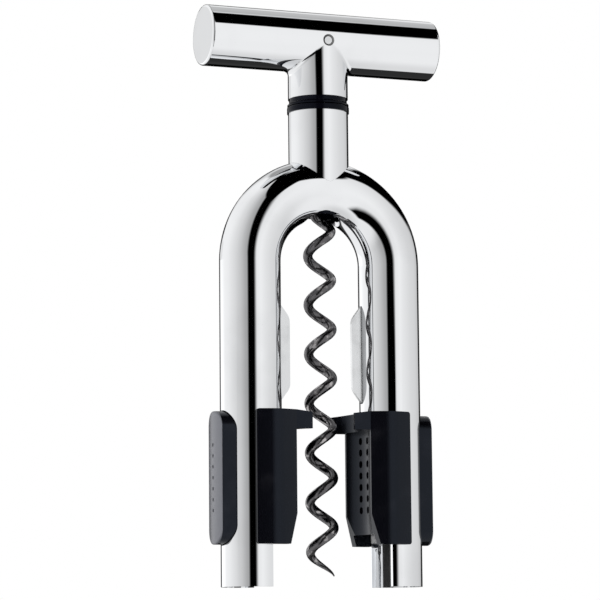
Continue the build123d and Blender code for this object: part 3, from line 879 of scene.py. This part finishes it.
def lay_floor(context, sizes):
    """A pale floor that fades out, seen from above only, because the camera stands a little lower than it."""
    reach = sizes.floor_reach
    data = bpy.data.meshes.new("floor")
    corners = [(-reach, -reach, 0.0), (reach, -reach, 0.0), (reach, reach, 0.0), (-reach, reach, 0.0)]
    data.from_pydata(corners, [], [(0, 1, 2, 3)])
    finish, graph = new_finish("pale_floor")
    away = graph.add("ShaderNodeVectorMath", {"operation": "LENGTH"}, {0: graph.place()}, "Value")
    matte = graph.add("ShaderNodeBsdfDiffuse", {}, {"Color": colour_of(sizes.floor_tint)})
    clear = graph.add("ShaderNodeBsdfTransparent")
    under = graph.add("ShaderNodeNewGeometry", out="Backfacing")
    faded = graph.rise(away, sizes.floor_fade, reach)
    surface = graph.add("ShaderNodeMixShader", {}, {0: under.larger(faded), 1: matte, 2: clear})
    graph.add("ShaderNodeOutputMaterial", {}, {"Surface": surface})
    data.materials.append(finish)
    floor = bpy.data.objects.new("floor", data)
    floor.location.z = FLOOR_DROP
    floor.visible_glossy = False
    context.scene.collection.objects.link(floor)


def by_bearing(graph, bearing, stops):
    """A number from 0 to 1 that runs straight from stop to stop, each at a bearing in degrees."""
    ramp = [((stop + HALF_TURN) / (2 * HALF_TURN), (level, level, level)) for stop, level in stops]
    return graph.add("ShaderNodeValToRGB", {"stops": ramp}, {"Fac": (bearing + HALF_TURN) / (2 * HALF_TURN)})


def edge_by_bearing(graph, bearing, stops):
    """A lift in degrees that runs straight from stop to stop, each at a bearing in degrees."""
    return by_bearing(graph, bearing, [(stop, lift / UPRIGHT) for stop, lift in stops]) * UPRIGHT


def tent_patch(graph, bearing, lift, patch):
    """A patch of the tent, as strong as it says in the middle and 0 outside its windows."""
    strength, bearings, lifts = patch
    return strength * graph.window(bearing, *bearings) * graph.window(lift, *lifts)


def tent_light(graph):
    """How bright the tent looks in a mirror, by its bearing from the front and its lift above level."""
    towards = graph.add("ShaderNodeTexCoord", out="Generated")
    x, y, z = graph.axes(towards)
    bearing = x.math("ARCTAN2", x, 0 - y) * DEGREES
    lift = z.math("ARCSINE", z) * DEGREES
    drop = 0 - lift

    walls = by_bearing(graph, bearing, WALL_LIGHTS)
    table = TABLE_LIGHT - TABLE_SHADE * graph.rise(drop, *TABLE_SHADE_DROP)
    level = walls + (table - walls) * graph.rise(drop, *TABLE_DROP)
    top_low = edge_by_bearing(graph, bearing, [(stop, low) for stop, low, _ in TOP_EDGES])
    top_level = by_bearing(graph, bearing, [(stop, shade) for stop, _, shade in TOP_EDGES])
    level = level + (top_level - level) * graph.rise(lift, top_low - TOP_SOFT, top_low + TOP_SOFT)

    roof_low = edge_by_bearing(graph, bearing, [(stop, low) for stop, low, _ in ROOF_EDGES])
    roof_high = edge_by_bearing(graph, bearing, [(stop, high) for stop, _, high in ROOF_EDGES])
    soft = ROOF_SOFT + ROOF_SOFTER * graph.rise(bearing, *ROOF_SOFTER_FROM)
    dark = graph.window(lift, roof_low - soft, roof_low + soft, roof_high - ROOF_SOFT, roof_high + ROOF_SOFT)
    for patch in DARK_PATCHES.values():
        dark = dark.larger(tent_patch(graph, bearing, lift, patch))
    return level * (1 - dark) + tent_patch(graph, bearing, lift, BRIGHT_STRIP)


def light_world(context, sizes):
    """A white tent: the eye sees it plain, the metal sees its dark places, and the rest gets an even fill."""
    world = bpy.data.worlds.new("tent")
    world.use_nodes = True
    context.scene.world = world
    graph = Graph(world.node_tree)
    rays = graph.add("ShaderNodeLightPath", out="Is Camera Ray")
    outputs = rays.socket.node.outputs
    glossy = Value(graph, outputs["Is Glossy Ray"])
    seen = rays.larger(Value(graph, outputs["Is Transmission Ray"]))
    strength = seen.larger(glossy * tent_light(graph)).larger((1 - seen.larger(glossy)) * sizes.fill)
    sky = graph.add("ShaderNodeBackground", {}, {"Color": (1.0, 1.0, 1.0, 1.0), "Strength": strength})
    graph.add("ShaderNodeOutputWorld", {}, {"Surface": sky})


def hang_lamp(context, name, place, power, side):
    """A square soft lamp that faces the middle of the corkscrew."""
    data = bpy.data.lights.new(name, "AREA")
    data.energy = power
    data.size = side
    lamp = bpy.data.objects.new(name, data)
    middle = Vector((0.0, 0.0, CAD_BOX[1][2] / 2))
    lamp.location = place
    lamp.rotation_euler = (middle - lamp.location).to_track_quat("-Z", "Y").to_euler()
    lamp.visible_glossy = False
    lamp.visible_camera = False
    context.scene.collection.objects.link(lamp)


def place_camera(context, sizes):
    """The camera, at the photograph's viewing angle."""
    data = bpy.data.cameras.new("camera")
    data.lens = sizes.lens
    data.clip_start = CLIP_START
    camera = bpy.data.objects.new("camera", data)
    bearing = sizes.camera_yaw + sizes.camera_pan
    ahead = Vector(
        (
            sin(bearing) * cos(sizes.camera_pitch),
            cos(bearing) * cos(sizes.camera_pitch),
            sin(sizes.camera_pitch),
        )
    )
    right = Vector((cos(bearing), -sin(bearing), 0.0))
    above = right.cross(ahead)
    across = right * cos(sizes.camera_roll) + above * sin(sizes.camera_roll)
    upward = above * cos(sizes.camera_roll) - right * sin(sizes.camera_roll)
    turned = Matrix((across, upward, -ahead)).transposed().to_4x4()
    stand = Vector((-sin(sizes.camera_yaw), -cos(sizes.camera_yaw), 0.0)) * sizes.camera_reach
    stand.z = sizes.camera_height
    camera.matrix_world = Matrix.Translation(stand) @ turned
    context.scene.collection.objects.link(camera)
    context.scene.camera = camera


class CORKSCREW_OT_set_stage(bpy.types.Operator):
    """Set up the floor, the light and the camera"""

    bl_idname = "corkscrew.set_stage"
    bl_label = "Set the stage"

    def execute(self, context):
        sizes = context.scene.corkscrew.studio
        context.scene.view_settings.view_transform = "Standard"
        lay_floor(context, sizes)
        light_world(context, sizes)
        hang_lamp(context, "key_lamp", KEY_PLACE, sizes.key_power, KEY_SIDE)
        hang_lamp(context, "top_lamp", TOP_PLACE, sizes.top_power, TOP_SIDE)
        place_camera(context, sizes)
        return {"FINISHED"}


class CORKSCREW_PT_dressing(bpy.types.Panel):
    """Lists the corkscrew's sizes and steps"""

    bl_idname = "CORKSCREW_PT_dressing"
    bl_label = "Corkscrew"
    bl_space_type = "VIEW_3D"
    bl_region_type = "UI"
    bl_category = "Corkscrew"

    def draw(self, context):
        for operator, group in STEPS:
            box = self.layout.box()
            box.operator(operator.bl_idname)
            sizes = getattr(context.scene.corkscrew, group)
            for name in sizes.__annotations__:
                box.prop(sizes, name)


STEPS = (
    (CORKSCREW_OT_chrome_tubes, "chrome"),
    (CORKSCREW_OT_grind_steel, "steel"),
    (CORKSCREW_OT_mould_jaws, "plastic"),
    (CORKSCREW_OT_turn_bushes, "bush"),
    (CORKSCREW_OT_coat_worm, "worm"),
    (CORKSCREW_OT_wind_springs, "spring"),
    (CORKSCREW_OT_set_stage, "studio"),
)
CLASSES = (
    ChromeSizes,
    SteelSizes,
    PlasticSizes,
    BushSizes,
    WormSizes,
    SpringSizes,
    StudioSizes,
    CorkscrewSizes,
    *(operator for operator, _ in STEPS),
    CORKSCREW_PT_dressing,
)


def register():
    for kind in CLASSES:
        bpy.utils.register_class(kind)
    bpy.types.Scene.corkscrew = bpy.props.PointerProperty(type=CorkscrewSizes)


def unregister():
    del bpy.types.Scene.corkscrew
    for kind in reversed(CLASSES):
        bpy.utils.unregister_class(kind)


def main():
    register()
    bpy.ops.corkscrew.chrome_tubes()
    bpy.ops.corkscrew.grind_steel()
    bpy.ops.corkscrew.mould_jaws()
    bpy.ops.corkscrew.turn_bushes()
    bpy.ops.corkscrew.coat_worm()
    bpy.ops.corkscrew.wind_springs()
    bpy.ops.corkscrew.set_stage()


if __name__ == "__main__":
    main()
